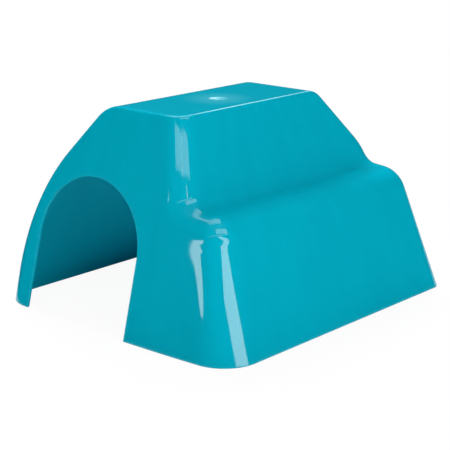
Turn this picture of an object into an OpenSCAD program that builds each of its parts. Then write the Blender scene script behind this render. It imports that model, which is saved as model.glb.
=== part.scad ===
// Rabbit house: one moulded plastic shell, open underneath, with an arched doorway in its front,
// a step along its right side and a rounded hip at its left side and back.
// The origin is the middle of the footprint, +Z is up and the doorway faces -Y. Millimetres.

/* [Footprint] */
// Width across the bottom edge, from the hip side to the step side
base_w = 332; // [300:1:370]
// Length along the bottom edge, from the doorway to the back
base_l = 365; // [330:1:410]
// Height from the floor to the roof
house_h = 220; // [195:1:245]
// Thickness of the moulded wall
wall = 3; // [2:0.1:3.5]

/* [Front] */
// Lean of the doorway wall from upright, in degrees
front_lean = 14.8; // [8:0.1:18]
// Radius of the doorway wall's gentle bow, seen from above
front_bow_r = 2060; // [1200:10:4000]
// Clear width of the doorway at the floor
door_floor_w = 150; // [120:1:165]
// Clear width of the doorway where its head begins
door_head_w = 149; // [110:1:155]
// Clear height of the doorway
door_h = 148; // [110:1:165]
// Rise of the doorway's elliptical head
door_rise = 70; // [40:1:75]
// Distance of the doorway's middle from the house's middle, towards the hip side
door_offset = 45; // [20:1:50]

/* [Step side] */
// Height of the step's outer edge
step_h = 129.5; // [105:0.5:145]
// Depth of the step's tread
step_tread = 42; // [34:1:52]
// Rise of the tread from its outer edge to the upper wall
step_rise = 4; // [2:0.5:10]
// Radius of the step's outer edge
step_edge_r = 28; // [8:1:30]
// Radius of the hollow between the tread and the upper wall
step_hollow_r = 17; // [6:1:20]
// Lean of the wall under the step, in degrees
step_lower_lean = 17.8; // [8:0.1:20]
// Lean of the wall above the step, in degrees
step_upper_lean = 16.9; // [6:0.1:20]

/* [Hip side] */
// Height at which the hip side turns in
hip_h = 109; // [100:1:130]
// Radius of that turn
hip_turn_r = 220; // [80:5:240]
// Lean of the hip side's lower wall, in degrees
hip_lower_lean = 4.7; // [2:0.1:9]
// Lean of the hip, in degrees
hip_upper_lean = 44.3; // [38:0.1:47]
// Radius where the hip meets the roof
hip_crown_r = 46; // [10:1:52]

/* [Back] */
// Height at which the back turns in
back_h = 149.5; // [125:0.5:165]
// Radius of that turn
back_turn_r = 66; // [20:1:80]
// Lean of the back's lower wall, in degrees
back_lower_lean = 11.2; // [6:0.1:16]
// Lean of the back's upper wall, in degrees
back_upper_lean = 42.8; // [35:0.1:46]
// Radius where the back meets the roof
back_crown_r = 23.5; // [8:0.5:34]

/* [Edges] */
// Radius of the crisp roof edge, at the front and at the step side
roof_edge_r = 4; // [4:0.1:7]
// Radius of the two front corners at the floor
front_floor_r = 40; // [20:1:50]
// Radius of the front corner on the step side, at the roof
front_step_roof_r = 21; // [8:1:28]
// Radius of the front corner on the hip side, at the roof
front_hip_roof_r = 6; // [5:1:20]
// Radius of the two back corners at the floor
back_floor_r = 15; // [8:1:40]
// Radius of the two back corners at the roof
back_roof_r = 5; // [5:0.5:20]

/* [Moulding gate] */
// Diameter of the dished gate mark in the middle of the roof
gate_d = 20; // [12:1:26]
// Depth of that dish
gate_depth = 0.8; // [0.4:0.1:1.2]
// Diameter of the trimmed stub of the gate
gate_stub_d = 3; // [2:0.5:5]
// Height of that stub above the bottom of the dish
gate_stub_h = 0.5; // [0.2:0.1:0.8]

/* [Smoothness] */
// Greatest height between two rings of the skin
ring_step = 9; // [6:1:14]
// Steps in each upright corner
corner_steps = 10; // [6:1:12]
// Steps across the bowed front
front_steps = 8; // [4:1:14]
// Steps in each rounded turn of a wall
turn_steps = 8; // [4:1:9]
// Steps round half of the doorway's head
head_steps = 14; // [8:1:24]

/* [Hidden] */
house_colour = "#00A0B8";
// Room that a cut needs past the surface that it leaves
cut_room = 1;
// Least radius that a turn on the inner skin may have
least_r = 0.5;
// Share of the shorter neighbouring run that a turn may use up
turn_share = 0.75;
// Flat length that each wall's profile takes of the roof, to turn onto it
roof_run = 40;

// Profiles of the four walls, each from the floor to the roof, as [distance in from the floor line, height]
front_line = let (top = house_h * tan(front_lean))
    [[0, 0], [top, house_h], [top + roof_run, house_h]];
step_line = let (
        outer = step_h * tan(step_lower_lean),
        inner = outer + step_tread,
        tread_h = step_h + step_rise,
        top = inner + (house_h - tread_h) * tan(step_upper_lean))
    [[0, 0], [outer, step_h], [inner, tread_h], [top, house_h], [top + roof_run, house_h]];
back_line = hipped_line(back_h, tan(back_lower_lean), tan(back_upper_lean));
hip_line = hipped_line(hip_h, tan(hip_lower_lean), tan(hip_upper_lean));

// Each skin is [front, step side, back, hip side] and the depth at which it lies under the outside
outer_skin = skin(0);
inner_skin = skin(wall);

// Profile of a wall that leans in a little up to turn_h and more from there to the roof;
// each slope is the distance in for each millimetre of height
function hipped_line(turn_h, lower_slope, upper_slope) = let (
        turn = turn_h * lower_slope,
        top = turn + (house_h - turn_h) * upper_slope)
    [[0, 0], [turn, turn_h], [top, house_h], [top + roof_run, house_h]];

function unit(v) = v / norm(v);
function turned(v, angle) = [v.x * cos(angle) - v.y * sin(angle), v.x * sin(angle) + v.y * cos(angle)];

// Way into the wall from a run of a profile: a quarter turn to the right of its direction
function inward(a, b) = let (d = unit(b - a)) [d.y, -d.x];

// Profile moved into the wall by a depth, still starting on the floor
function inset(line, depth) = let (last = len(line) - 1) [
    [depth / inward(line[0], line[1]).x, 0],
    for (i = [1 : last - 1])
        let (m = inward(line[i - 1], line[i]), n = inward(line[i], line[i + 1]))
        line[i] + (m + n) * depth / (1 + m * n),
    line[last] - [0, depth]
];

// Sign of a profile's turn at b: -1 where the wall turns in to the roof, 1 in the step's hollow
function turn_sign(a, b, c) = sign(cross(b - a, c - b));

// Arc that rounds the corner at b
function rounded_turn(a, b, c, r) = let (
        u = unit(a - b),
        v = unit(c - b),
        half = acos(u * v) / 2,
        room = turn_share * min(norm(a - b), norm(c - b)),
        fit_r = min(r, room * tan(half)),
        centre = b + unit(u + v) * fit_r / sin(half),
        first = b + u * fit_r / tan(half) - centre,
        sweep = (180 - 2 * half) * turn_sign(a, b, c))
    [for (i = [0 : turn_steps]) centre + turned(first, sweep * i / turn_steps)];

// Profile at a depth with every turn rounded, as [height, distance in] for reading off at a height
function wall_profile(line, radii, depth) = let (
        run = inset(line, depth),
        arcs = [for (i = [1 : len(run) - 2])
            let (grown = radii[i - 1] + depth * turn_sign(run[i - 1], run[i], run[i + 1]))
            each rounded_turn(run[i - 1], run[i], run[i + 1], max(grown, least_r))])
    [for (p = [run[0], each arcs]) [p.y, p.x]];

function skin(depth) = [
    wall_profile(front_line, [roof_edge_r], depth),
    wall_profile(step_line, [step_edge_r, step_hollow_r, roof_edge_r], depth),
    wall_profile(back_line, [back_turn_r, back_crown_r], depth),
    wall_profile(hip_line, [hip_turn_r, hip_crown_r], depth),
    depth
];

// Heights of a skin's rings: those of the step side's profile, with the long gaps filled
function ring_heights(skin) = let (heights = [for (p = skin[1]) p[0]]) [
    heights[0],
    for (i = [1 : len(heights) - 1])
        let (gap = heights[i] - heights[i - 1], parts = ceil(gap / ring_step))
        for (k = [1 : parts]) heights[i - 1] + gap * k / parts
];

// Points of an arc, with both ends
function arc(centre, r, from, to, steps) =
    [for (i = [0 : steps]) let (a = from + (to - from) * i / steps) centre + r * [cos(a), sin(a)]];

// Radius of an upright corner at a height and a depth, from its radii at the floor and at the roof
function corner_r(floor_r, roof_r, z, depth) = floor_r + (roof_r - floor_r) * z / house_h - depth;

// Ring of a skin at a height: a rounded rectangle whose front side is an arc of the bow's radius,
// with its corners tangent to that arc, counted anticlockwise from the corner of front and step side
function ring(skin, z) = let (
        depth = skin[4],
        front = lookup(z, skin[0]) - base_l / 2,
        right = base_w / 2 - lookup(z, skin[1]),
        back = base_l / 2 - lookup(z, skin[2]),
        left = lookup(z, skin[3]) - base_w / 2,
        step_r = corner_r(front_floor_r, front_step_roof_r, z, depth),
        hip_r = corner_r(front_floor_r, front_hip_roof_r, z, depth),
        back_r = corner_r(back_floor_r, back_roof_r, z, depth),
        bow_r = front_bow_r - depth,
        bow_y = front + bow_r,
        step_y = bow_y - sqrt(pow(bow_r - step_r, 2) - pow(right - step_r, 2)),
        hip_y = bow_y - sqrt(pow(bow_r - hip_r, 2) - pow(left + hip_r, 2)),
        step_a = atan2(step_y - bow_y, right - step_r),
        hip_a = atan2(hip_y - bow_y, left + hip_r),
        bow = arc([0, bow_y], bow_r, hip_a, step_a, front_steps))
    [for (p = [
        each arc([right - step_r, step_y], step_r, step_a, 0, corner_steps),
        each arc([right - back_r, back - back_r], back_r, 0, 90, corner_steps),
        each arc([left + back_r, back - back_r], back_r, 90, 180, corner_steps),
        each arc([left + hip_r, hip_y], hip_r, 180, 360 + hip_a, corner_steps),
        for (i = [1 : front_steps - 1]) bow[i]
    ]) [p.x, p.y, z]];

// Two triangles for each patch between ring rows of n points, seen clockwise from outside
function band(start, n, rows) = [
    for (row = [0 : rows - 2], i = [0 : n - 1])
        let (a = start + row * n, b = a + n, j = (i + 1) % n)
        each [[a + i, b + j, a + j], [a + i, b + i, b + j]]
];

// Outline of the doorway: sides that lean in a little and an elliptical head, with room below the floor
function door_outline() = let (spring = door_h - door_rise) [
    [door_floor_w / 2, -cut_room],
    [door_floor_w / 2, 0],
    for (i = [0 : 2 * head_steps])
        let (a = 90 * i / head_steps)
        [door_head_w / 2 * cos(a), spring + door_rise * sin(a)],
    [-door_floor_w / 2, 0],
    [-door_floor_w / 2, -cut_room]
];

// Thin-walled body: the outer skin, the inner skin turned inside out, and the flat rim between them
module body_skin() {
    outer_rings = [for (z = ring_heights(outer_skin)) ring(outer_skin, z)];
    inner_rings = [for (z = ring_heights(inner_skin)) ring(inner_skin, z)];
    n = len(outer_rings[0]);
    inner_start = n * len(outer_rings);
    outer_top = inner_start - n;
    inner_top = inner_start + n * (len(inner_rings) - 1);
    polyhedron(
        points = [for (rows = [outer_rings, inner_rings], row = rows) each row],
        faces = [
            each band(0, n, len(outer_rings)),
            [for (i = [n - 1 : -1 : 0]) outer_top + i],
            for (f = band(inner_start, n, len(inner_rings))) [f[2], f[1], f[0]],
            [for (i = [0 : n - 1]) inner_top + i],
            for (i = [0 : n - 1])
                let (j = (i + 1) % n)
                each [[i, j, inner_start + j], [i, inner_start + j, inner_start + i]]
        ]
    );
}

// Cut through the front wall alone, along Y, from ahead of the house to just behind the wall
module doorway() {
    far_jamb = door_offset + door_floor_w / 2;
    bow_depth = front_bow_r - sqrt(pow(front_bow_r, 2) - pow(far_jamb, 2));
    lean_depth = door_h * tan(front_lean) + wall / cos(front_lean);
    ahead = -base_l / 2 - cut_room;
    behind = -base_l / 2 + bow_depth + lean_depth + cut_room;
    translate([-door_offset, behind, 0])
        rotate([90, 0, 0])
            linear_extrude(behind - ahead)
                polygon(door_outline());
}

// Shallow dish in the middle of the roof, with the gate's trimmed stub left standing in it
module gate_mark() {
    dish_r = (pow(gate_d / 2, 2) + pow(gate_depth, 2)) / (2 * gate_depth);
    difference() {
        translate([0, 0, dish_r - gate_depth])
            sphere(r = dish_r, $fn = 96);
        translate([0, 0, -gate_depth - cut_room])
            cylinder(d = gate_stub_d, h = gate_stub_h + cut_room, $fn = 48);
    }
}

module house_shell() {
    roof = ring(outer_skin, house_h);
    roof_x = [for (p = roof) p.x];
    roof_y = [for (p = roof) p.y];
    color(house_colour)
        difference() {
            body_skin();
            doorway();
            translate([(min(roof_x) + max(roof_x)) / 2, (min(roof_y) + max(roof_y)) / 2, house_h])
                gate_mark();
        }
}

house_shell();
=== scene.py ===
"""Rabbit house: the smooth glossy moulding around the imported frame, in a small photo studio.

Sizes are in millimetres, as in the part's source, and points become metres when they go into a mesh.
The doorway faces -Y, the step is on the +X side and the hip on the -X side.
"""

import logging
import math
from dataclasses import dataclass, field
from enum import Enum

import bpy
import numpy as np
from mathutils import Euler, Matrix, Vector


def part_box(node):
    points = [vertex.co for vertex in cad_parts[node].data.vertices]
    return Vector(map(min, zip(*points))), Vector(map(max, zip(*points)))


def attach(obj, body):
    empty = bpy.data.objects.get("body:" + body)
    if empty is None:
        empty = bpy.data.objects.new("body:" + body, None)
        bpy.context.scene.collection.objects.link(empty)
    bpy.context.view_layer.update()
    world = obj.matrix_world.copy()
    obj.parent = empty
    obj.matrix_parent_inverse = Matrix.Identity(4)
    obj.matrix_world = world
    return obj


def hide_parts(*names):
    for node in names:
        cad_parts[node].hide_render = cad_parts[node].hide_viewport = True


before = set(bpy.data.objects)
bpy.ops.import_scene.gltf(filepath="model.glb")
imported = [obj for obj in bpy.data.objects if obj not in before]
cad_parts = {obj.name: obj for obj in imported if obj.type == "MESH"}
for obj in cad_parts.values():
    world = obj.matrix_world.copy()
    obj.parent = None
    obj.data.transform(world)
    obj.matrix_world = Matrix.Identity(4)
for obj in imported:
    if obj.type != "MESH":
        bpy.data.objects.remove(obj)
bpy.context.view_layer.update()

Array = np.ndarray
Socket = bpy.types.NodeSocket
Triple = tuple[float, float, float]
Span = tuple[float, float]
Value = Socket | float | Triple

LOG = logging.getLogger("rabbit_house")
SHELL_NODE = "house_shell"
BODY = "root"
MM = 0.001

# Rounding of the wall sections: the least radius, the largest share of a run that an arc may use up,
# the length of roof that ends each section, and the steps of an arc when a section is read.
LEAST_RADIUS = 0.5
TURN_SHARE = 0.75
ROOF_RUN = 40.0
FINE_STEPS = 160


class Side(Enum):
    """The four walls of the house."""

    FRONT = "front"
    STEP = "step side"
    BACK = "back"
    HIP = "hip side"


class Use(Enum):
    """What a light does for the picture."""

    KEY = "lights the house and shows in its gloss"
    FILL = "lights the house and leaves no reflection"
    GLINT = "shows in the gloss alone"


class Face(Enum):
    """Shape of a light's face, as the renderer names it."""

    BOX = "RECTANGLE"
    OVAL = "ELLIPSE"


class Attribute(Enum):
    """Values that the mesh carries at its points for the plastic to read."""

    INSIDE = "inside"
    HANDLING = "handling"


def slope(lean_degrees: float) -> float:
    """Distance in for each unit of height: the tangent of the lean from upright."""
    return math.tan(math.radians(lean_degrees))


def smooth_step(share: Array) -> Array:
    """Ease from 0 to 1 with level ends: three squares of the share less two cubes."""
    held = np.clip(share, 0.0, 1.0)
    return held * held * (3.0 - 2.0 * held)


def point_numbers(points: Array, wanted: Array) -> Array:
    """Find points in a list that holds them.

    Args:
        points: points as (point, axis), sorted and each of them once.
        wanted: some of those points, as an array whose last axis is the place.

    Returns:
        The number of each wanted point in the list.
    """
    both = np.concatenate([points, wanted.reshape(-1, 3)])
    _, found = np.unique(both, axis=0, return_inverse=True)
    return found.reshape(-1)[len(points):].reshape(wanted.shape[:-1])


def new_material(name: str) -> bpy.types.Material:
    """Make a material with nodes.

    Args:
        name: name of the material.

    Returns:
        The material.
    """
    material = bpy.data.materials.new(name)
    material.use_nodes = True
    return material


@dataclass(frozen=True)
class WallProfile:
    """Upright section of one wall, from the floor to the flat of the roof.

    Attributes:
        points: (distance in from the floor line, height) of each corner of the section.
        radii: radius that rounds each point between the first and the last.
    """

    points: tuple[tuple[float, float], ...]
    radii: tuple[float, ...]

    def inset(self, depth: float) -> "WallProfile":
        """Move the section into the wall.

        With m and n the inward normals of the two runs at a point, the point moves by the depth along
        m + n over 1 + m.n, which keeps both runs parallel. The first point stays on the floor and the
        last one sinks with the roof. A radius grows by the depth in a hollow and shrinks by it on a crest.

        Args:
            depth: distance under the outside.

        Returns:
            The section at that depth.
        """
        line = np.array(self.points)
        ahead = np.diff(line, axis=0)
        ahead /= np.linalg.norm(ahead, axis=1, keepdims=True)
        normal = np.stack([ahead[:, 1], -ahead[:, 0]], axis=1)
        before, after = normal[:-1], normal[1:]
        moved = line.copy()
        moved[0] = (depth / normal[0, 0], 0.0)
        moved[1:-1] += depth * (before + after) / (1.0 + np.sum(before * after, axis=1, keepdims=True))
        moved[-1, 1] -= depth
        turn = np.sign(ahead[:-1, 0] * ahead[1:, 1] - ahead[:-1, 1] * ahead[1:, 0])
        radii = np.maximum(np.array(self.radii) + depth * turn, LEAST_RADIUS)
        return WallProfile(tuple(map(tuple, moved)), tuple(radii))

    def arcs(self, steps: int) -> Array:
        """Round each inner point of the section.

        With u and v the directions from a point b to its neighbours and h half the angle between them,
        the arc of radius r has its centre r / sin h from b along the bisector, and it meets the runs
        r / tan h from b. The radius is cut where the arc would use up too much of the shorter run.

        Args:
            steps: equal steps of each arc.

        Returns:
            Points as (corner, step, axis), from the floor upwards.
        """
        line = np.array(self.points)
        to_last, to_next = line[:-2] - line[1:-1], line[2:] - line[1:-1]
        last_run = np.linalg.norm(to_last, axis=1)
        next_run = np.linalg.norm(to_next, axis=1)
        u, v = to_last / last_run[:, None], to_next / next_run[:, None]
        half = np.arccos(np.sum(u * v, axis=1)) / 2.0
        room = TURN_SHARE * np.minimum(last_run, next_run)
        radius = np.minimum(np.array(self.radii), room * np.tan(half))
        bisector = (u + v) / np.linalg.norm(u + v, axis=1, keepdims=True)
        centre = line[1:-1] + bisector * (radius / np.sin(half))[:, None]
        start = line[1:-1] + u * (radius / np.tan(half))[:, None] - centre
        sweep = (np.pi - 2.0 * half) * np.sign(u[:, 1] * v[:, 0] - u[:, 0] * v[:, 1])
        angle = sweep[:, None] * np.linspace(0.0, 1.0, steps + 1)
        across = np.cos(angle) * start[:, :1] - np.sin(angle) * start[:, 1:]
        along = np.sin(angle) * start[:, :1] + np.cos(angle) * start[:, 1:]
        return centre[:, None] + np.stack([across, along], axis=-1)

    def distance_in(self, heights: Array) -> Array:
        """Read the rounded section at some heights.

        Args:
            heights: heights over the floor.

        Returns:
            Distance in from the floor line at each height.
        """
        line = np.concatenate([np.array(self.points[:1]), self.arcs(FINE_STEPS).reshape(-1, 2)])
        return np.interp(heights, line[:, 1], line[:, 0])


@dataclass(frozen=True)
class Doorway:
    """Arched doorway in the front wall: sides that lean in a little under an elliptical head."""

    floor_width: float = 150.0
    head_width: float = 149.0
    height: float = 148.0
    rise: float = 70.0
    middle: float = -45.0
    crown_from: float = 116.0
    crown_to: float = 64.0

    @property
    def spring(self) -> float:
        """Height at which the head begins."""
        return self.height - self.rise

    def side(self, heights: Array, top: float, end_angle: float) -> Array:
        """One side of the outline, from its foot up to an angle of the head.

        Below the spring the half width falls evenly with the height. Above it, the height's share of
        the rest of the wall gives the angle a, and the point is (half width times cos a, spring plus
        rise times sin a).

        Args:
            heights: heights of the wall's rows that the points belong to.
            top: height of the last of those rows.
            end_angle: angle of the head that the last row belongs to, in degrees.

        Returns:
            Points as (row, (x, height)).
        """
        start_angle = 180.0 if end_angle > 90.0 else 0.0
        sign = math.copysign(1.0, 90.0 - start_angle)
        jamb = np.minimum(heights / self.spring, 1.0)
        width = self.floor_width + (self.head_width - self.floor_width) * jamb
        share = np.clip((heights - self.spring) / (top - self.spring), 0.0, 1.0)
        angle = np.radians(start_angle + (end_angle - start_angle) * share)
        straight = heights < self.spring
        x = np.where(straight, sign * width / 2.0, self.head_width / 2.0 * np.cos(angle))
        z = np.where(straight, heights, self.spring + self.rise * np.sin(angle))
        return np.stack([self.middle + x, z], axis=-1)

    def outline(self, heights: Array, crown_points: int) -> Array:
        """Whole outline, from the foot on the hip side, over the head, to the foot on the step side.

        Args:
            heights: heights of the wall's rows, from the floor to the row over the doorway.
            crown_points: points over the crown, between its two end angles.

        Returns:
            Points as (place along the outline, (x, height)).
        """
        angle = np.radians(np.linspace(self.crown_from, self.crown_to, crown_points + 2)[1:-1])
        crown = np.stack([self.middle + self.head_width / 2.0 * np.cos(angle),
                          self.spring + self.rise * np.sin(angle)], axis=-1)
        hip_jamb = self.side(heights, heights[-1], self.crown_from)
        step_jamb = self.side(heights, heights[-1], self.crown_to)
        return np.concatenate([hip_jamb, crown, step_jamb[::-1]])


@dataclass(frozen=True)
class GateMark:
    """Dished mark in the middle of the roof, with the trimmed stub that the moulding gate left."""

    diameter: float = 20.0
    depth: float = 0.8
    lip: float = 1.4
    stub_diameter: float = 3.0
    stub_height: float = 0.3
    stub_fillet: float = 0.35
    end_rounding: float = 0.3
    end_shares: tuple[float, ...] = (0.6, 0.3, 0.0)
    dish_rings: int = 13
    turn_steps: int = 4

    def profile(self) -> tuple[Array, Array]:
        """Radii and drops of the mark's rings, from its lip to its centre.

        The dish drops by its depth times the square of 1 less the square of the share of its radius,
        so it leaves the roof level. The stub stands on it with a rounded foot and a rounded cut end.

        Returns:
            Radius of each ring, and its depth under the roof.
        """
        reach = self.diameter / 2.0 + self.lip
        stub = self.stub_diameter / 2.0
        half_height = self.stub_height / 2.0
        dish_r = np.linspace(reach, stub + self.stub_fillet, self.dish_rings)
        turn = np.linspace(0.0, np.pi / 2.0, self.turn_steps + 1)[1:]
        foot_r = stub + self.stub_fillet * (1.0 - np.sin(turn))
        foot_up = half_height * (1.0 - np.cos(turn))
        end_r = stub - self.end_rounding * (1.0 - np.cos(turn))
        end_up = half_height * (1.0 + np.sin(turn))
        top_r = stub * np.array(self.end_shares)
        top_up = np.full_like(top_r, self.stub_height)
        radius = np.concatenate([dish_r, foot_r, end_r, top_r])
        raised = np.concatenate([np.zeros_like(dish_r), foot_up, end_up, top_up])
        drop = self.depth * (1.0 - (radius / reach) ** 2) ** 2
        return radius, drop - raised


@dataclass(frozen=True)
class HouseSizes:
    """Sizes of the moulding, in millimetres and degrees.

    The sizes that begin with ease belong to the rounding of the tread's front end: the heights between
    which it comes in and runs out, its radius as a share of the upright corner's, the share that it
    loses where the side is level, how far in front of the house's middle it begins, and the steps in
    which points move onto it.
    """

    width: float
    length: float
    height: float
    wall: float = 3.0
    front_lean: float = 14.8
    front_bow_radius: float = 2060.0
    step_height: float = 129.5
    step_tread: float = 42.0
    step_rise: float = 4.0
    step_edge_radius: float = 28.0
    step_hollow_radius: float = 17.0
    step_lower_lean: float = 17.8
    step_upper_lean: float = 16.9
    hip_height: float = 109.0
    hip_turn_radius: float = 220.0
    hip_lower_lean: float = 4.7
    hip_upper_lean: float = 44.3
    hip_crown_radius: float = 46.0
    back_height: float = 149.5
    back_turn_radius: float = 66.0
    back_lower_lean: float = 11.2
    back_upper_lean: float = 42.8
    back_crown_radius: float = 23.5
    roof_edge_radius: float = 4.0
    front_floor_radius: float = 40.0
    front_step_roof_radius: float = 21.0
    front_hip_roof_radius: float = 6.0
    back_floor_radius: float = 15.0
    back_roof_radius: float = 5.0
    ease_low: Span = (78.0, 112.0)
    ease_high: Span = (138.0, 165.0)
    ease_share: float = 1.06
    ease_dip: float = 0.22
    ease_from: float = 60.0
    ease_rounds: int = 8

    @classmethod
    def from_frame(cls) -> "HouseSizes":
        """Take the width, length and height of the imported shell.

        Returns:
            The sizes.
        """
        low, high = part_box(SHELL_NODE)
        width, length, height = (high - low) / MM
        return cls(width=width, length=length, height=height)

    def hipped(self, turn_height: float, lower: float, upper: float, radii: Span) -> WallProfile:
        """Section of a wall that leans in a little up to a height and more from there to the roof.

        Args:
            turn_height: height at which the lean changes.
            lower: lean under that height, in degrees.
            upper: lean over that height, in degrees.
            radii: radii of the turn and of the crown.

        Returns:
            The section of that wall.
        """
        turn = turn_height * slope(lower)
        top = turn + (self.height - turn_height) * slope(upper)
        points = ((0.0, 0.0), (turn, turn_height), (top, self.height), (top + ROOF_RUN, self.height))
        return WallProfile(points, radii)

    def profile(self, side: Side) -> WallProfile:
        """Outer section of one wall.

        Args:
            side: the wall.

        Returns:
            Its section.
        """
        if side is Side.FRONT:
            top = self.height * slope(self.front_lean)
            points = ((0.0, 0.0), (top, self.height), (top + ROOF_RUN, self.height))
            return WallProfile(points, (self.roof_edge_radius,))
        if side is Side.STEP:
            outer = self.step_height * slope(self.step_lower_lean)
            inner = outer + self.step_tread
            tread = self.step_height + self.step_rise
            top = inner + (self.height - tread) * slope(self.step_upper_lean)
            points = ((0.0, 0.0), (outer, self.step_height), (inner, tread), (top, self.height),
                      (top + ROOF_RUN, self.height))
            radii = (self.step_edge_radius, self.step_hollow_radius, self.roof_edge_radius)
            return WallProfile(points, radii)
        if side is Side.BACK:
            return self.hipped(self.back_height, self.back_lower_lean, self.back_upper_lean,
                               (self.back_turn_radius, self.back_crown_radius))
        return self.hipped(self.hip_height, self.hip_lower_lean, self.hip_upper_lean,
                           (self.hip_turn_radius, self.hip_crown_radius))


@dataclass(frozen=True)
class SkinDivision:
    """How finely a skin is divided, up the walls and round the house."""

    rim_step: float = 1.6
    lower_rows: int = 28
    turn_rows: int = 14
    tread_rows: int = 5
    upper_rows: int = 16
    crown_rows: int = 14
    crown_share: float = 0.92
    front_corner: int = 20
    hip_corner: int = 16
    back_corner: int = 10
    side_columns: int = 36
    back_columns: int = 30
    front_columns: int = 40
    door_rows: int = 24
    ease_steps: int = 40
    roof_shares: tuple[float, ...] = (0.0, 0.02, 0.06, 0.13, 0.24, 0.38, 0.54, 0.7, 0.83, 0.92, 0.97, 1.0)


@dataclass
class Moulding:
    """Grids of points that share their borders, sewn into one closed surface."""

    grids: list[Array] = field(default_factory=list)

    def add(self, grids: tuple[Array, ...], turned: bool = False) -> None:
        """Take up grids whose columns cross their rows anticlockwise, seen from outside.

        Args:
            grids: grids of points, each as (row, column, axis).
            turned: the grids are seen from their other side.
        """
        self.grids.extend(grid[:, ::-1] if turned else grid for grid in grids)

    def sew(self) -> tuple[Array, Array, Array]:
        """Join the grids where their points are the same.

        Each patch of four neighbouring points is a face; a patch with two equal points, at a pole, is a
        triangle of the other three.

        Returns:
            Sorted points, faces of four corners, and faces of three corners.
        """
        starts = np.cumsum([0] + [grid.shape[0] * grid.shape[1] for grid in self.grids])
        patches = []
        for start, grid in zip(starts, self.grids):
            index = start + np.arange(grid.shape[0] * grid.shape[1]).reshape(grid.shape[:2])
            patch = np.stack([index[:-1, :-1], index[:-1, 1:], index[1:, 1:], index[1:, :-1]], axis=-1)
            patches.append(patch.reshape(-1, 4))
        loose = np.concatenate([grid.reshape(-1, 3) for grid in self.grids])
        points, sewn = np.unique(loose, axis=0, return_inverse=True)
        faces = sewn.reshape(-1)[np.concatenate(patches)]
        pole = faces[:, 2] == faces[:, 3]
        other_pole = faces[:, 0] == faces[:, 1]
        quads = faces[~(pole | other_pole)]
        triangles = np.concatenate([faces[pole][:, :3], faces[other_pole][:, 1:]])
        return points, quads, triangles


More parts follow.
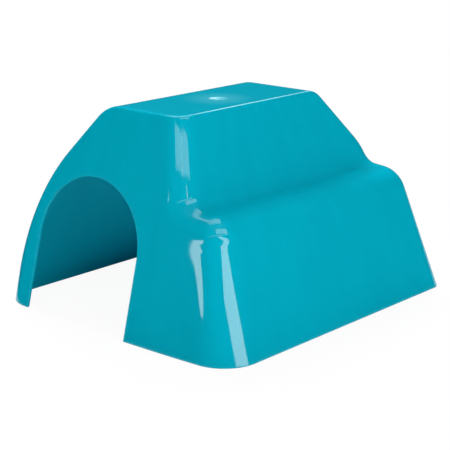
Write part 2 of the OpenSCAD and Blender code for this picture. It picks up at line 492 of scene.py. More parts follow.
class ShellSkin:
    """One skin of the moulding, at a depth under the outside, as grids of points."""

    def __init__(self, sizes: HouseSizes, door: Doorway, division: SkinDivision, depth: float) -> None:
        """Read the four sections at the depth and lay out the skin.

        Args:
            sizes: sizes of the moulding.
            door: the doorway.
            division: how finely the skin is divided.
            depth: distance under the outside.
        """
        self.sizes, self.door, self.division, self.depth = sizes, door, division, depth
        self.sections = {side: sizes.profile(side).inset(depth) for side in Side}
        self.heights, self.roof_row = self.row_heights()
        self.wrap, self.bow = self.rings()
        self.apron = self.front_apron()
        self.wrap, self.bow, self.apron = (self.eased(grid) for grid in (self.wrap, self.bow, self.apron))

    def row_heights(self) -> tuple[Array, int]:
        """Heights of the rows: close together in each turn of the step side and near the roof.

        Returns:
            Heights from the floor to the roof, and the number of the row where the roof edge begins.
        """
        d = self.division
        roof = self.sizes.height - self.depth
        edge, hollow, crest = self.sections[Side.STEP].arcs(d.turn_rows)[:, :, 1]
        crown = d.crown_share * roof
        runs = [np.zeros(1),
                np.linspace(d.rim_step, edge[0], d.lower_rows)[:-1],
                edge,
                np.linspace(edge[-1], hollow[0], d.tread_rows)[1:-1],
                hollow,
                np.linspace(hollow[-1], crown, d.upper_rows)[1:],
                np.linspace(crown, crest[0], d.crown_rows)[1:-1],
                crest]
        heights = np.concatenate(runs)
        heights[-1] = roof
        return heights, len(heights) - len(crest)

    @staticmethod
    def corner(centre_x: Array, centre_y: Array, radius: Array, start: Array, end: Array,
               steps: int) -> Array:
        """Arc in each row: the centre plus the radius times (cos a, sin a), with a in equal steps.

        Args:
            centre_x: x of the centre in each row.
            centre_y: y of the centre in each row.
            radius: radius in each row.
            start: first angle in each row.
            end: last angle in each row.
            steps: equal steps of the arc.

        Returns:
            Points as (row, step, (x, y)).
        """
        share = np.linspace(0.0, 1.0, steps + 1)
        angle = start[:, None] + (end - start)[:, None] * share
        return np.stack([centre_x[:, None] + radius[:, None] * np.cos(angle),
                         centre_y[:, None] + radius[:, None] * np.sin(angle)], axis=-1)

    @staticmethod
    def straight(start: Array, end: Array, steps: int) -> Array:
        """Points between two places in each row, without the two places themselves.

        Args:
            start: first place in each row, as (row, (x, y)).
            end: last place in each row.
            steps: equal steps between them.

        Returns:
            Points as (row, step, (x, y)).
        """
        share = np.linspace(0.0, 1.0, steps + 1)[1:-1, None]
        return start[:, None] + (end - start)[:, None] * share

    def corner_radius(self, floor_radius: float, roof_radius: float, heights: Array) -> Array:
        """Radius of an upright corner at some heights: even change with height, less the depth."""
        return floor_radius + (roof_radius - floor_radius) * heights / self.sizes.height - self.depth

    def bow_centre(self, heights: Array) -> Array:
        """Y of the centre of the front wall's bow at some heights."""
        front = self.sections[Side.FRONT].distance_in(heights) - self.sizes.length / 2.0
        return front + self.sizes.front_bow_radius - self.depth

    def rings(self) -> tuple[Array, Array]:
        """Lay a rounded rectangle in each row, with its front side bowed.

        The corners of the front touch the bow: a corner of radius r whose centre is at x lies
        sqrt((R - r)^2 - x^2) from the centre of a bow of radius R.

        Returns:
            Grid from the step side's front corner round to the hip side's, and grid of the bow between.
        """
        s, d, heights = self.sizes, self.division, self.heights
        right = s.width / 2.0 - self.sections[Side.STEP].distance_in(heights)
        back = s.length / 2.0 - self.sections[Side.BACK].distance_in(heights)
        left = self.sections[Side.HIP].distance_in(heights) - s.width / 2.0
        step_r = self.corner_radius(s.front_floor_radius, s.front_step_roof_radius, heights)
        hip_r = self.corner_radius(s.front_floor_radius, s.front_hip_roof_radius, heights)
        back_r = self.corner_radius(s.back_floor_radius, s.back_roof_radius, heights)
        bow_r = np.full_like(heights, s.front_bow_radius - self.depth)
        bow_y = self.bow_centre(heights)
        step_y = bow_y - np.sqrt((bow_r - step_r) ** 2 - (right - step_r) ** 2)
        hip_y = bow_y - np.sqrt((bow_r - hip_r) ** 2 - (left + hip_r) ** 2)
        step_a = np.arctan2(step_y - bow_y, right - step_r)
        hip_a = np.arctan2(hip_y - bow_y, left + hip_r)
        zero = np.zeros_like(heights)
        quarter, half, whole = zero + np.pi / 2.0, zero + np.pi, zero + 2.0 * np.pi
        step_front = self.corner(right - step_r, step_y, step_r, step_a, zero, d.front_corner)
        step_back = self.corner(right - back_r, back - back_r, back_r, zero, quarter, d.back_corner)
        hip_back = self.corner(left + back_r, back - back_r, back_r, quarter, half, d.back_corner)
        hip_front = self.corner(left + hip_r, hip_y, hip_r, half, whole + hip_a, d.hip_corner)
        step_side = self.straight(step_front[:, -1], step_back[:, 0], d.side_columns)
        back_side = self.straight(step_back[:, -1], hip_back[:, 0], d.back_columns)
        hip_side = self.straight(hip_back[:, -1], hip_front[:, 0], d.side_columns)
        plan = np.concatenate([step_front, step_side, step_back, back_side, hip_back, hip_side, hip_front],
                              axis=1)
        bow_plan = self.corner(zero, bow_y, bow_r, hip_a, step_a, d.front_columns)
        wrap, bow = self.raised(plan), self.raised(bow_plan)
        bow[:, 0], bow[:, -1] = wrap[:, -1], wrap[:, 0]
        return wrap, bow

    def raised(self, plan: Array) -> Array:
        """Give each row of a plan its height."""
        upright = np.broadcast_to(self.heights[:, None, None], plan.shape[:2] + (1,))
        return np.concatenate([plan, upright], axis=-1)

    def front_apron(self) -> Array:
        """Front wall under the roof edge, as a band that goes up, over and down round the doorway.

        Its columns run from the doorway's outline to the two corners and the roof edge. Its rows divide
        that distance evenly after a first narrow row along the doorway. A point at (x, z) lies on the
        bow: y is the bow's centre less sqrt(R^2 - x^2).

        Returns:
            Points as (row out from the doorway, place along its outline, axis).
        """
        d, top = self.division, self.roof_row
        rows = self.heights[:top + 1]
        border = np.concatenate([self.wrap[:top + 1, -1], self.bow[top, 1:-1], self.wrap[top::-1, 0]])
        outline = self.door.outline(rows, d.front_columns - 1)
        way = border[:, [0, 2]] - outline
        first = d.rim_step / np.linalg.norm(way, axis=1)
        share = np.linspace(0.0, 1.0, d.door_rows)[:, None]
        share = np.concatenate([np.zeros((1, len(first))), first + (1.0 - first) * share])
        flat = outline + way * share[:, :, None]
        x, z = flat[..., 0], flat[..., 1]
        bow_r = self.sizes.front_bow_radius - self.depth
        y = self.bow_centre(z.ravel()).reshape(z.shape) - np.sqrt(bow_r ** 2 - x ** 2)
        apron = np.stack([x, y, z], axis=-1)
        apron[-1] = border
        return apron

    def off_front(self, points: Array) -> tuple[Array, Array]:
        """How far points lie outside the front wall, with the direction in which that grows.

        Args:
            points: points as (point, axis).

        Returns:
            Distance of each point, and the wall's outward normal there.
        """
        lean = math.radians(self.sizes.front_lean)
        x, y, z = points.T
        depth = np.sqrt((self.sizes.front_bow_radius - self.depth) ** 2 - x ** 2)
        outward = np.stack([math.cos(lean) * x / depth, np.full_like(x, -math.cos(lean)),
                            np.full_like(x, math.sin(lean))], axis=1)
        return math.cos(lean) * (self.bow_centre(z) - depth - y), outward

    def off_step_side(self, points: Array) -> tuple[Array, Array]:
        """How far points lie outside the step side, with the direction in which that grows.

        The side's section is taken as short runs, with its upper run drawn out past the roof. The
        nearest run gives the distance, which is positive on the run's outer side.

        Args:
            points: points as (point, axis).

        Returns:
            Distance of each point, and the section's outward normal there.
        """
        section = self.sections[Side.STEP]
        foot, _, inner, top, _ = np.array(section.points)
        turns = section.arcs(self.division.ease_steps)[:2].reshape(-1, 2)
        line = np.concatenate([foot[None], turns, (2.0 * top - inner)[None]])
        start, ahead = line[:-1], np.diff(line, axis=0)
        length = np.linalg.norm(ahead, axis=1)
        ahead = ahead / length[:, None]
        place = np.stack([self.sizes.width / 2.0 - points[:, 0], points[:, 2]], axis=1)
        way = place[:, None] - start
        along = np.clip(np.sum(way * ahead, axis=-1), 0.0, length)
        gap = np.linalg.norm(way - along[..., None] * ahead, axis=-1)
        nearest = np.argmin(gap, axis=1)
        rows = np.arange(len(points))
        run, offset = ahead[nearest], way[rows, nearest]
        side = np.sign(run[:, 0] * offset[:, 1] - run[:, 1] * offset[:, 0])
        outward = np.stack([run[:, 1], np.zeros(len(points)), run[:, 0]], axis=1)
        return side * gap[rows, nearest], outward

    def ease_radius(self, heights: Array, side_rise: Array) -> Array:
        """Radius of the rounding of the tread's front end.

        It is a share of the upright corner's radius. It loses a share of that as the side turns from the
        lean of its lower wall to level.

        Args:
            heights: heights of some points.
            side_rise: upward part of the side's outward normal at them.

        Returns:
            The radius at each point.
        """
        s = self.sizes
        lean = slope(s.step_lower_lean)
        level = smooth_step((side_rise - lean) / (1.0 - lean))
        corner = self.corner_radius(s.front_floor_radius, s.front_step_roof_radius, heights)
        return s.ease_share * (1.0 - s.ease_dip * level) * corner

    def eased(self, grid: Array) -> Array:
        """Round the front end of the tread, and let that rounding run out up and down the corner.

        A ball of radius r rolls inside the skin and touches the front wall and the step side. With f and
        g a point's distances outside the two, and m and n their outward normals, the spoke from the
        ball's centre line to the point is u m + v n, where u + v m.n is f + r and u m.n + v is g + r. A
        point with u or v under 0 lies beside the ball's path, and its spoke is along one normal. Each
        point goes along its spoke to the length r, in a few steps because the normals turn on the way.

        Args:
            grid: points of the skin, as (row, column, axis).

        Returns:
            The points, moved near the tread's front end.
        """
        s = self.sizes
        points = grid.reshape(-1, 3)
        heights = points[:, 2]
        share = smooth_step((heights - s.ease_low[0]) / (s.ease_low[1] - s.ease_low[0]))
        share = share * smooth_step((s.ease_high[1] - heights) / (s.ease_high[1] - s.ease_high[0]))
        near = (share > 0.0) & (points[:, 0] > 0.0) & (points[:, 1] < -s.ease_from)
        moved = points[near]
        for _ in range(s.ease_rounds):
            front, front_way = self.off_front(moved)
            side, side_way = self.off_step_side(moved)
            radius = self.ease_radius(moved[:, 2], side_way[:, 2])
            front, side = front + radius, side + radius
            cosine = np.sum(front_way * side_way, axis=1)
            from_side, from_front = front - cosine * side, side - cosine * front
            level = 1.0 - cosine ** 2
            u = np.where(from_front > 0.0, np.maximum(from_side, 0.0) / level, front)
            v = np.where(from_side > 0.0, np.maximum(from_front, 0.0) / level, side)
            spoke = u[:, None] * front_way + v[:, None] * side_way
            length = np.maximum(np.linalg.norm(spoke, axis=1), LEAST_RADIUS)
            moved = moved - spoke * (1.0 - radius / length)[:, None]
        eased = points.copy()
        eased[near] += share[near, None] * (moved - points[near])
        return eased.reshape(grid.shape)

    def roof_outline(self) -> Array:
        """Closed ring where the walls meet the flat of the roof."""
        return np.concatenate([self.wrap[-1], self.bow[-1, 1:-1], self.wrap[-1, :1]])

    def roof_centre(self) -> Array:
        """Middle of the roof's outline, where the moulding gate was."""
        outline = self.roof_outline()
        return (outline.min(axis=0) + outline.max(axis=0)) / 2.0

    def roof(self, radii: Array, drops: Array) -> Array:
        """Roof, as rings that change from its outline to a circle and go on to its centre.

        A ring at a share s lies s of the way from the outline to the circle, along the ray from the
        centre. The rings of the mark follow it at their own radii and drops.

        Args:
            radii: radius of each ring of the mark, the last of them 0.
            drops: depth of each of those rings under the roof.

        Returns:
            Points as (ring, place round it, axis).
        """
        outline, centre = self.roof_outline(), self.roof_centre()
        ray = outline[:, :2] - centre[:2]
        reach = np.linalg.norm(ray, axis=1, keepdims=True)
        ray = ray / reach
        share = np.array(self.division.roof_shares)[:, None, None]
        distance = np.concatenate([reach * (1.0 - share) + radii[0] * share,
                                   np.broadcast_to(radii[1:, None, None], (len(radii) - 1,) + reach.shape)])
        height = np.concatenate([np.zeros(len(share)), -drops[1:]]) + self.heights[-1]
        plan = centre[:2] + ray * distance
        upright = np.broadcast_to(height[:, None, None], plan.shape[:2] + (1,))
        grid = np.concatenate([plan, upright], axis=-1)
        grid[0], grid[-1, :, :2] = outline, centre[:2]
        return grid

    def grids(self, radii: Array, drops: Array) -> tuple[Array, ...]:
        """Grids of the whole skin: sides and back, front edge of the roof, front wall, and roof.

        Args:
            radii: radius of each ring of the mark in the roof.
            drops: depth of each of those rings under the roof.

        Returns:
            The grids.
        """
        return self.wrap, self.bow[self.roof_row:], self.apron, self.roof(radii, drops)

    def edge(self) -> Array:
        """Free edge of the skin: round the doorway, then along the floor, back to the first foot."""
        return np.concatenate([self.apron[0], self.apron[1:, -1], self.wrap[0, 1:-1], self.apron[::-1, 0]])


@dataclass(frozen=True)
class Grain:
    """A soft noise in the plastic.

    Attributes:
        scale: features a metre.
        detail: octaves of finer noise.
        span: values that become 0 and 1 where the noise is a mask.
        depth: metres that the noise stands up where it tilts the surface, under 0 for a groove.
    """

    scale: float
    detail: float
    span: Span = (0.0, 1.0)
    depth: float = 0.0


@dataclass(frozen=True)
class GlossPlastic:
    """Through-coloured glossy plastic of the moulding.

    A span is a pair of values between which a mask grows from 0 to 1, for the gate's halo and painted glint
    a pair of distances in metres. A dulling is the roughness that a mask adds.

    Attributes:
        colour: main colour, linear.
        deep: colour where the flow of the melt darkened it.
        pale: colour round the gate and of handled edges.
        painted_glint: pale colour on the gate mark's dish, a painted reflection of the lights in it.
        gloss: roughness of the polished outside.
        dull: roughness of the duller inside.
        refraction: index of refraction.
        shine: specular level of the outside.
        inner_shine: specular level of the inside.
        streak_turn: how quickly the flow streaks change round the gate.
        streak_drift: how quickly they change away from it.
        hair_stretch: how finely the fine scratches lie along each axis.
    """

    colour: Triple = (0.0, 0.355, 0.475)
    deep: Triple = (0.0, 0.342, 0.46)
    pale: Triple = (0.075, 0.46, 0.58)
    # The colour below is a painted reflection: pale paint on the gate mark's dish in place of the lights'
    # reflection.
    painted_glint: Triple = (0.21, 0.58, 0.66)
    gloss: float = 0.032
    dull: float = 0.34
    refraction: float = 1.49
    shine: float = 0.5
    inner_shine: float = 0.01
    streak_turn: float = 2.6
    streak_drift: Triple = (1.5, 1.5, 4.0)
    streaks: Grain = Grain(2.4, 4.0)
    streak_share: float = 0.6
    clouds: Grain = Grain(11.0, 3.0)
    flow_span: Span = (0.36, 0.64)
    halo_span: Span = (0.042, 0.01)
    halo_share: float = 0.45
    # Reach, share and roughness of the painted reflection on the gate mark's dish.
    painted_glint_span: Span = (0.0125, 0.0075)
    painted_glint_share: float = 0.36
    painted_glint_dulling: float = 0.2
    scuffs: Grain = Grain(420.0, 3.0, (0.42, 0.66))
    scuff_share: float = 0.14
    scuff_dulling: float = 0.3
    smudges: Grain = Grain(34.0, 5.0, (0.45, 0.75))
    smudge_dulling: float = 0.012
    waves: Grain = Grain(17.0, 1.0, depth=0.00007)
    peel: Grain = Grain(900.0, 2.0, depth=0.0000035)
    hair_stretch: Triple = (60.0, 900.0, 300.0)
    hairs: Grain = Grain(1.0, 2.0, (0.7, 0.78), -0.00002)

    def flow(self, board: "NodeBoard", place: Socket, from_gate: Socket) -> Socket:
        """Colour of the melt: streaks that fan out from the gate, over soft clouds.

        Args:
            board: the material's nodes.
            place: place on the moulding.
            from_gate: way from the gate to that place.

        Returns:
            The colour.
        """
        level = board.vector("MULTIPLY", from_gate, (1.0, 1.0, 0.0))
        turn = board.vector("MULTIPLY", board.vector("NORMALIZE", level), (self.streak_turn,) * 3)
        drift = board.vector("MULTIPLY", from_gate, self.streak_drift)
        streaks = board.noise(board.vector("ADD", turn, drift), self.streaks)
        clouds = board.noise(place, self.clouds)
        flow = board.math("ADD", board.math("MULTIPLY", streaks, self.streak_share),
                          board.math("MULTIPLY", clouds, 1.0 - self.streak_share))
        return board.mix(board.ramp(flow, self.flow_span), self.deep, self.colour)

    def tilt(self, board: "NodeBoard", place: Socket, handling: Socket) -> Socket:
        """Tilt of the surface: long waves, orange peel, and fine scratches where it is handled.

        Args:
            board: the material's nodes.
            place: place on the moulding.
            handling: share of wear at that place.

        Returns:
            The tilted normal.
        """
        waves = board.bump(board.noise(place, self.waves), self.waves.depth)
        peel = board.bump(board.noise(place, self.peel), self.peel.depth, waves)
        hairs = board.mask(board.vector("MULTIPLY", place, self.hair_stretch), self.hairs)
        return board.bump(board.math("MULTIPLY", hairs, handling), self.hairs.depth, peel)

    def material(self, name: str, gate: Vector) -> bpy.types.Material:
        """Make the plastic's nodes.

        Args:
            name: name of the material.
            gate: place of the moulding gate, in metres, from which the melt spread.

        Returns:
            The material.
        """
        material = new_material(name)
        board = NodeBoard(material.node_tree)
        place = board.add("ShaderNodeTexCoord").outputs["Object"]
        inside = board.attribute(Attribute.INSIDE)
        handling = board.attribute(Attribute.HANDLING)
        from_gate = board.vector("SUBTRACT", place, tuple(gate))
        far = board.length(from_gate)
        halo = board.math("MULTIPLY", board.ramp(far, self.halo_span), self.halo_share)
        # Mask of the gate mark's dish, where a painted reflection of the lights is laid on as pale colour.
        painted_glint = board.ramp(far, self.painted_glint_span)
        scuffs = board.math("MULTIPLY", handling, board.mask(place, self.scuffs))
        worn = board.math("MULTIPLY", scuffs, self.scuff_share)

        body = board.mix(halo, self.flow(board, place, from_gate), self.pale)
        # Painted reflection: pale colour over the gate mark's dish in place of the lights' reflection.
        body = board.mix(board.math("MULTIPLY", painted_glint, self.painted_glint_share), body, self.painted_glint)
        body = board.mix(worn, body, self.pale)

        smudged = board.math("MULTIPLY", board.mask(place, self.smudges), self.smudge_dulling)
        rough = board.math("ADD", smudged, self.gloss)
        for where, dulling in ((worn, self.scuff_dulling), (painted_glint, self.painted_glint_dulling),
                               (inside, self.dull - self.gloss)):
            rough = board.math("ADD", rough, board.math("MULTIPLY", where, dulling))

        shader = material.node_tree.nodes["Principled BSDF"]
        shader.inputs["IOR"].default_value = self.refraction
        lost_shine = board.math("MULTIPLY", inside, self.shine - self.inner_shine)
        board.link(board.math("SUBTRACT", self.shine, lost_shine), shader.inputs["Specular IOR Level"])
        board.link(body, shader.inputs["Base Color"])
        board.link(rough, shader.inputs["Roughness"])
        board.link(self.tilt(board, place, handling), shader.inputs["Normal"])
        return material


class NodeBoard:
    """Short ways to add and join a material's nodes."""

    def __init__(self, tree: bpy.types.NodeTree) -> None:
        """Work on a node tree."""
        self.tree = tree

    def add(self, kind: str) -> bpy.types.Node:
        """Add a node of a kind."""
        return self.tree.nodes.new(kind)

    def link(self, value: Socket, socket: Socket) -> None:
        """Join an output to an input."""
        self.tree.links.new(value, socket)

    def feed(self, socket: Socket, value: Value) -> None:
        """Give an input an output to follow, or a fixed value.

        Args:
            socket: the input.
            value: an output, a number or a row of numbers.
        """
        if isinstance(value, Socket):
            self.link(value, socket)
        elif socket.type == "RGBA":
            socket.default_value = (*value, 1.0)
        else:
            socket.default_value = value

    def attribute(self, which: Attribute) -> Socket:
        """Read a value that the mesh carries at its points.

        Args:
            which: the value.

        Returns:
            The value.
        """
        node = self.add("ShaderNodeAttribute")
        node.attribute_name = which.value
        return node.outputs["Fac"]

    def rays(self, *kinds: str) -> Socket:
        """Tell rays of some kinds, at 1, from all others, at 0.

        Args:
            kinds: the renderer's names for those kinds.

        Returns:
            The greatest of their values.
        """
        path = self.add("ShaderNodeLightPath")
        found = path.outputs[kinds[0]]
        for kind in kinds[1:]:
            found = self.math("MAXIMUM", found, path.outputs[kind])
        return found

    def combine(self, kind: str, operation: str, values: tuple[Value, ...], output: str) -> Socket:
        """Work out one value from others.

        Args:
            kind: kind of the node.
            operation: the node's name for what it does.
            values: outputs or fixed values, in the order of the node's inputs.
            output: the node's name for the result.

        Returns:
            The result.
        """
        node = self.add(kind)
        node.operation = operation
        for socket, value in zip(node.inputs, values):
            self.feed(socket, value)
        return node.outputs[output]

    def math(self, operation: str, first: Value, second: Value) -> Socket:
        """Sum, product or the like of two numbers."""
        return self.combine("ShaderNodeMath", operation, (first, second), "Value")

    def vector(self, operation: str, *vectors: Value) -> Socket:
        """Sum, product or direction of vectors."""
        return self.combine("ShaderNodeVectorMath", operation, vectors, "Vector")

    def length(self, vector: Socket) -> Socket:
        """Length of a vector."""
        return self.combine("ShaderNodeVectorMath", "LENGTH", (vector,), "Value")

    def noise(self, place: Socket, grain: Grain) -> Socket:
        """Soft noise of a grain.

        Args:
            place: place at which it is read.
            grain: the grain.

        Returns:
            The noise.
        """
        node = self.add("ShaderNodeTexNoise")
        self.link(place, node.inputs["Vector"])
        node.inputs["Scale"].default_value = grain.scale
        node.inputs["Detail"].default_value = grain.detail
        return node.outputs["Fac"]

    def ramp(self, value: Socket, span: Span) -> Socket:
        """Smooth change from 0 at one value to 1 at another.

        Args:
            value: the value.
            span: the two values.

        Returns:
            The share between 0 and 1.
        """
        node = self.add("ShaderNodeMapRange")
        node.interpolation_type = "SMOOTHSTEP"
        self.link(value, node.inputs["Value"])
        node.inputs["From Min"].default_value, node.inputs["From Max"].default_value = span
        return node.outputs["Result"]

    def mask(self, place: Socket, grain: Grain) -> Socket:
        """Noise of a grain, drawn out over its span."""
        return self.ramp(self.noise(place, grain), grain.span)

    def mix(self, share: Socket, first: Value, second: Value) -> Socket:
        """Mix of two colours.

        Args:
            share: share of the second colour.
            first: the first colour.
            second: the second colour.

        Returns:
            The mixed colour.
        """
        node = self.add("ShaderNodeMix")
        node.data_type = "RGBA"
        sockets = {socket.identifier: socket for socket in node.inputs}
        self.link(share, node.inputs["Factor"])
        self.feed(sockets["A_Color"], first)
        self.feed(sockets["B_Color"], second)
        return next(socket for socket in node.outputs if socket.identifier == "Result_Color")

    def bump(self, height: Socket, depth: float, normal: Socket | None = None) -> Socket:
        """Tilt of the surface from a height.

        Args:
            height: the height, from 0 to 1.
            depth: metres that a height of 1 stands up, under 0 for a groove.
            normal: an earlier tilt, where there is one.

        Returns:
            The tilted normal.
        """
        node = self.add("ShaderNodeBump")
        node.inputs["Distance"].default_value = abs(depth)
        node.invert = depth < 0.0
        self.link(height, node.inputs["Height"])
        if normal is not None:
            self.link(normal, node.inputs["Normal"])
        return node.outputs["Normal"]


@dataclass
class HouseShell:
    """The whole house: one moulding, with an outer and an inner skin joined round the rim and doorway."""

    sizes: HouseSizes
    door: Doorway = field(default_factory=Doorway)
    gate: GateMark = field(default_factory=GateMark)
    division: SkinDivision = field(default_factory=SkinDivision)
    rim_rounding: float = 0.7
    rim_segments: int = 3
    foot_turn: float = 60.0
    handled_reach: float = 3.0
    handled_stride: int = 3
    outer: ShellSkin = field(init=False)
    inner: ShellSkin = field(init=False)

    def __post_init__(self) -> None:
        """Lay out the two skins, a wall apart."""
        self.outer, self.inner = (ShellSkin(self.sizes, self.door, self.division, depth)
                                  for depth in (0.0, self.sizes.wall))

    def build(self) -> bpy.types.Object:
        """Build the moulding as one object.

        Returns:
            The object, at the origin.
        """
        radii, drops = self.gate.profile()
        outside = self.outer.grids(radii, drops)
        inside = self.inner.grids(radii, np.zeros_like(drops))
        rim = np.stack([self.outer.edge(), self.inner.edge()])
        moulding = Moulding()
        moulding.add(outside)
        moulding.add((*inside, rim), turned=True)
        points, quads, triangles = moulding.sew()
        mesh = bpy.data.meshes.new("moulded_shell")
        mesh.from_pydata(points * MM, [], quads.tolist() + triangles.tolist())
        mesh.polygons.foreach_set("use_smooth", np.ones(len(mesh.polygons), dtype=bool))
        self.mark_rim(mesh, points, rim)
        self.mark_handling(mesh, points, inside)
        mesh.validate()
        shell = bpy.data.objects.new("moulded_shell", mesh)
        bpy.context.scene.collection.objects.link(shell)
        self.round_rim(shell)
        return shell

    def mark_rim(self, mesh: bpy.types.Mesh, points: Array, rim: Array) -> None:
        """Weight the sharp edges of the rim, so that only they are rounded.

        Those are its outer and its inner edge, and the edges across the wall at the doorway's feet, where
        the rim turns by more than the foot's turn.

        Args:
            mesh: the moulding's mesh.
            points: its points, in the sorted order of the sewing.
            rim: outer and inner edge of the rim, as (edge, place, axis).
        """
        place = point_numbers(points, rim)
        along = np.stack([place[:, :-1], place[:, 1:]], axis=-1).reshape(-1, 2)
        ahead = np.diff(rim[0], axis=0)
        ahead /= np.linalg.norm(ahead, axis=1, keepdims=True)
        bend = np.sum(ahead * np.roll(ahead, 1, axis=0), axis=1)
        feet = place[:, :-1][:, bend < math.cos(math.radians(self.foot_turn))].T
        sharp = np.sort(np.concatenate([along, feet]), axis=1)
        pairs = np.zeros(2 * len(mesh.edges), dtype=np.int64)
        mesh.edges.foreach_get("vertices", pairs)
        pairs = np.sort(pairs.reshape(-1, 2), axis=1)
        total = len(points)
        weight = np.isin(pairs[:, 0] * total + pairs[:, 1], sharp[:, 0] * total + sharp[:, 1])
        attribute = mesh.attributes.new("bevel_weight_edge", "FLOAT", "EDGE")
        attribute.data.foreach_set("value", weight.astype(np.float32))

    def mark_handling(self, mesh: bpy.types.Mesh, points: Array, inside: tuple[Array, ...]) -> None:
        """Give the points their share of the inside and of the wear by hands, paws and bedding.

        The wear falls off with the distance from the rim, the doorway and the roof edge as
        exp(-(distance / reach)^2).

        Args:
            mesh: the moulding's mesh.
            points: its points, in the sorted order of the sewing.
            inside: grids of the inner skin.
        """
        within = np.concatenate([grid.reshape(-1, 3) for grid in (*inside, self.outer.apron[:1])])
        dull = np.zeros(len(points))
        dull[point_numbers(points, within)] = 1.0
        path = np.concatenate([self.outer.apron[0], self.outer.roof_outline()[::self.handled_stride]])
        squares = np.sum(points ** 2, axis=1)[:, None] + np.sum(path ** 2, axis=1) - 2.0 * points @ path.T
        gap = np.sqrt(np.maximum(squares.min(axis=1), 0.0))
        gap = np.minimum(gap, points[:, 2])
        worn = np.exp(-(gap / self.handled_reach) ** 2)
        for which, value in ((Attribute.INSIDE, dull), (Attribute.HANDLING, worn)):
            attribute = mesh.attributes.new(which.value, "FLOAT", "POINT")
            attribute.data.foreach_set("value", value.astype(np.float32))

    def round_rim(self, shell: bpy.types.Object) -> None:
        """Round the weighted edges of the rim and the doorway.

        Args:
            shell: the moulding.
        """
        bevel = shell.modifiers.new("rim_rounding", "BEVEL")
        bevel.limit_method = "WEIGHT"
        bevel.width = self.rim_rounding * MM
        bevel.segments = self.rim_segments
        bevel.use_clamp_overlap = False

    def dress(self, shell: bpy.types.Object, finish: GlossPlastic) -> None:
        """Give the moulding its plastic, and put it in place of the frame's shell.

        Args:
            shell: the moulding.
            finish: its plastic.
        """
        gate = Vector(self.outer.roof_centre() * MM)
        shell.data.materials.append(finish.material("glossy_turquoise_plastic", gate))
        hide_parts(SHELL_NODE)
        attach(shell, BODY)


@dataclass(frozen=True)
class SoftBox:
    """A soft light that faces the house.

    Attributes:
        name: name of the light.
        azimuth: direction from the focus, in degrees, where 0 is the doorway's side and 90 the step's.
        reach: metres from the focus, along the floor.
        rise: metres over the floor.
        width: metres across.
        height: metres up.
        roll: turn about the line to the focus, in degrees.
        radiance: brightness of its face, where 1 is white.
        use: what the light does for the picture.
        face: shape of its face.
    """

    name: str
    azimuth: float
    reach: float
    rise: float
    width: float
    height: float
    roll: float
    radiance: float
    use: Use = Use.KEY
    face: Face = Face.BOX

    def place(self, focus: Vector) -> None:
        """Set the light up, facing the focus.

        Args:
            focus: point that it faces.
        """
        azimuth = math.radians(self.azimuth)
        place = Vector((focus.x + self.reach * math.sin(azimuth),
                        focus.y - self.reach * math.cos(azimuth), self.rise))
        lamp = bpy.data.lights.new(self.name, "AREA")
        lamp.shape = self.face.value
        lamp.size, lamp.size_y = self.width, self.height
        area = self.width * self.height * (1.0 if self.face is Face.BOX else math.pi / 4.0)
        lamp.energy = self.radiance * math.pi * area
        facing = (place - focus).to_track_quat("Z", "Y")
        roll = Euler((0.0, 0.0, math.radians(self.roll))).to_quaternion()
        light = bpy.data.objects.new(self.name, lamp)
        light.location = place
        light.rotation_euler = (facing @ roll).to_euler()
        light.visible_camera = False
        light.visible_glossy = self.use is not Use.FILL
        light.visible_diffuse = self.use is not Use.GLINT
        bpy.context.scene.collection.objects.link(light)
        LOG.info("light %s", self.name)


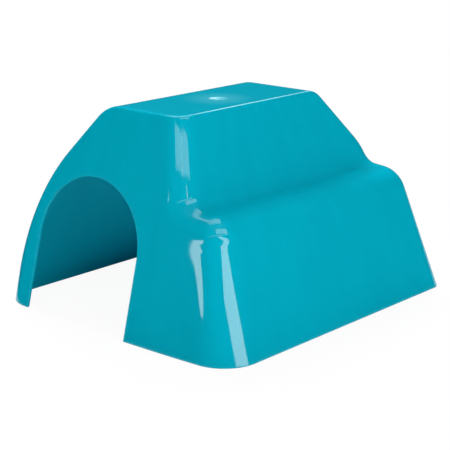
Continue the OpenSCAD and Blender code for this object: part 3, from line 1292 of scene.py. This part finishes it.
@dataclass(frozen=True)
class Studio:
    """White floor, soft lights, a dark card and the camera, in metres and degrees.

    Attributes:
        floor_drop: distance from the rim down to the floor.
        shadow_share: share of the floor's own shading where the shadow is deepest.
        shadow_reach: distance from the middle at which the floor is all white.
        sky_low: brightness of the room's walls.
        sky_high: brightness that the ceiling adds straight above.
        ceiling_span: upward part of the directions between which the ceiling begins and is full.
        focus: point that the lights face.
        camera_turn: angle from the doorway's side to the step's.
        focal_length: focal length, in millimetres as the film's width.
        flag_gap: distance from the picture's left border to the dark card.
        flag_span: distances from the camera to the card's two ends.
        cabin_glow: the light that the floor throws up inside, facing the cabin's focus.
    """

    floor_reach: float = 14.0
    floor_drop: float = 0.0003
    floor_shade: float = 0.72
    shadow_share: float = 0.07
    shadow_reach: float = 0.75
    sky_low: float = 0.012
    sky_high: float = 0.15
    ceiling_span: Span = (0.75, 1.0)
    focus: Triple = (0.11, -0.145, 0.1)
    camera_place: Triple = (0.9155, -1.0143, 0.4591)
    camera_pitch: float = 15.644
    camera_turn: float = 41.997
    focal_length: float = 104.34
    film_width: float = 36.0
    flag_gap: float = 0.012
    flag_span: Span = (1.27, 2.2)
    flag_height: float = 0.3
    flag_shade: float = 0.01
    lights: tuple[SoftBox, ...] = (
        SoftBox("right_low", 85.1, 1.21, 0.394, 0.231, 1.37, 64.0, 5.4),
        SoftBox("right_high", 78.0, 1.08, 1.42, 1.3, 0.86, -16.0, 2.7),
        SoftBox("strip_left", 29.0, 1.058, 0.746, 0.66, 0.083, 5.0, 2.6),
        SoftBox("strip_right", 61.5, 0.971, 0.711, 0.62, 0.084, -4.0, 2.6),
        SoftBox("left_low", -24.4, 1.5, 0.316, 0.66, 0.16, 8.0, 5.4, Use.KEY, Face.OVAL),
        SoftBox("left_sliver", -21.4, 1.37, 0.44, 0.107, 0.1, 5.0, 3.7, Use.KEY, Face.OVAL),
        SoftBox("overhead", 234.0, 0.5, 1.2, 0.78, 0.72, 0.0, 1.8, Use.GLINT),
        SoftBox("back_rim", 215.0, 1.4, 0.8, 0.3, 0.5, 0.0, 3.2, Use.GLINT),
        SoftBox("roof_fill", 237.0, 1.98, 2.08, 2.4, 1.3, 0.0, 13.2, Use.FILL),
        SoftBox("front_fill", 4.0, 1.2, 1.5, 1.2, 0.8, 0.0, 4.4, Use.FILL),
        SoftBox("side_fill", 95.0, 1.8, 0.6, 1.4, 0.8, 0.0, 1.4, Use.FILL),
    )
    cabin_glow: SoftBox = SoftBox("cabin_glow", 0.0, 0.0, 0.004, 0.2, 0.24, 0.0, 0.95, Use.FILL)
    cabin_focus: Triple = (-0.01, 0.01, 0.2)

    def build(self) -> None:
        """Set up the floor, the dark card, the lights, the sky and the camera."""
        self.lay_floor()
        self.stand_flag()
        for light in self.lights:
            light.place(Vector(self.focus))
        self.cabin_glow.place(Vector(self.cabin_focus))
        self.set_sky()
        self.set_camera()
        bpy.context.scene.view_settings.view_transform = "Standard"

    @staticmethod
    def sheet(name: str, corners: list[Triple], material: bpy.types.Material) -> bpy.types.Object:
        """Make a flat sheet of the studio.

        Args:
            name: name of the sheet.
            corners: its corners, in order.
            material: its material.

        Returns:
            The sheet's object.
        """
        mesh = bpy.data.meshes.new(name)
        mesh.from_pydata(corners, [], [tuple(range(len(corners)))])
        mesh.materials.append(material)
        sheet = bpy.data.objects.new(name, mesh)
        bpy.context.scene.collection.objects.link(sheet)
        return sheet

    def lay_floor(self) -> None:
        """Lay a wide level floor, just under the rim."""
        reach, level = self.floor_reach, -self.floor_drop
        corners = [(-reach, -reach, level), (reach, -reach, level),
                   (reach, reach, level), (-reach, reach, level)]
        floor = self.sheet("studio_floor", corners, self.floor_material())

    def stand_flag(self) -> None:
        """Stand a dark card beside the picture, on the hip side, that only reflections show.

        The card follows the left border of the picture: its line in plan starts from the camera, turned
        from the camera's direction by the border's angle, whose tangent is half the film over the lens.
        """
        turn = math.radians(self.camera_turn) + math.atan(self.film_width / 2.0 / self.focal_length)
        ahead = np.array([-math.sin(turn), math.cos(turn)])
        aside = np.array([-ahead[1], ahead[0]]) * self.flag_gap
        near, far = (np.array(self.camera_place[:2]) + ahead * reach + aside for reach in self.flag_span)
        corners = [(*near, 0.0), (*far, 0.0), (*far, self.flag_height), (*near, self.flag_height)]
        flag = self.sheet("studio_flag", corners, self.cloth_material())
        flag.visible_camera = flag.visible_diffuse = flag.visible_shadow = False

    def cloth_material(self) -> bpy.types.Material:
        """Matt black cloth of the dark card.

        Returns:
            The material.
        """
        material = new_material("black_cloth")
        shader = material.node_tree.nodes["Principled BSDF"]
        shader.inputs["Base Color"].default_value = (*(self.flag_shade,) * 3, 1.0)
        shader.inputs["Roughness"].default_value = 1.0
        shader.inputs["Specular IOR Level"].default_value = 0.0
        return material

    def floor_material(self) -> bpy.types.Material:
        """White floor that keeps a soft shadow.

        Seen directly or in a reflection it is white with a share of its own shading, so that it keeps
        the house's shadow; to all other light it is a plain pale floor.

        Returns:
            The material.
        """
        material = new_material("white_floor")
        tree = material.node_tree
        tree.nodes.clear()
        board = NodeBoard(tree)
        seen = board.rays("Is Camera Ray", "Is Glossy Ray", "Is Transmission Ray")
        matt = board.add("ShaderNodeBsdfDiffuse")
        matt.inputs["Color"].default_value = (*(self.floor_shade,) * 3, 1.0)
        white = board.add("ShaderNodeEmission")
        white.inputs["Strength"].default_value = 1.0
        away = board.length(board.add("ShaderNodeTexCoord").outputs["Object"])
        kept = board.math("MULTIPLY", board.ramp(away, (self.shadow_reach, 0.0)), self.shadow_share)
        mixed = board.add("ShaderNodeMixShader")
        board.link(board.math("MULTIPLY", seen, board.math("SUBTRACT", 1.0, kept)), mixed.inputs["Fac"])
        board.link(matt.outputs[0], mixed.inputs[1])
        board.link(white.outputs[0], mixed.inputs[2])
        out = board.add("ShaderNodeOutputMaterial")
        board.link(mixed.outputs[0], out.inputs["Surface"])
        return material

    def set_sky(self) -> None:
        """Light the room: dark walls under a brighter ceiling, and white where the camera sees it."""
        world = bpy.data.worlds.new("studio_room")
        world.use_nodes = True
        bpy.context.scene.world = world
        board = NodeBoard(world.node_tree)
        way = board.add("ShaderNodeTexCoord").outputs["Generated"]
        parts = board.add("ShaderNodeSeparateXYZ")
        board.link(way, parts.inputs[0])
        ceiling = board.math("MULTIPLY", board.ramp(parts.outputs["Z"], self.ceiling_span), self.sky_high)
        seen = board.rays("Is Camera Ray", "Is Transmission Ray")
        strength = board.math("MAXIMUM", board.math("ADD", ceiling, self.sky_low), seen)
        background = world.node_tree.nodes["Background"]
        background.inputs["Color"].default_value = (1.0, 1.0, 1.0, 1.0)
        board.link(strength, background.inputs["Strength"])

    def set_camera(self) -> None:
        """Set the camera where the photograph was taken from."""
        lens = bpy.data.cameras.new("camera")
        lens.sensor_fit = "HORIZONTAL"
        lens.sensor_width = self.film_width
        lens.lens = self.focal_length
        camera = bpy.data.objects.new("camera", lens)
        camera.location = self.camera_place
        tilt, turn = math.radians(90.0 - self.camera_pitch), math.radians(self.camera_turn)
        camera.rotation_euler = Euler((tilt, 0.0, turn))
        bpy.context.scene.collection.objects.link(camera)
        bpy.context.scene.camera = camera


def main() -> None:
    """Build the house and the studio, and report each piece."""
    logging.basicConfig(level=logging.INFO, format="%(name)s: %(message)s")
    house = HouseShell(HouseSizes.from_frame())
    shell = house.build()
    house.dress(shell, GlossPlastic())
    mesh = shell.data
    LOG.info("piece %s: %d points, %d faces", shell.name, len(mesh.vertices), len(mesh.polygons))
    Studio().build()


if __name__ == "__main__":
    main()
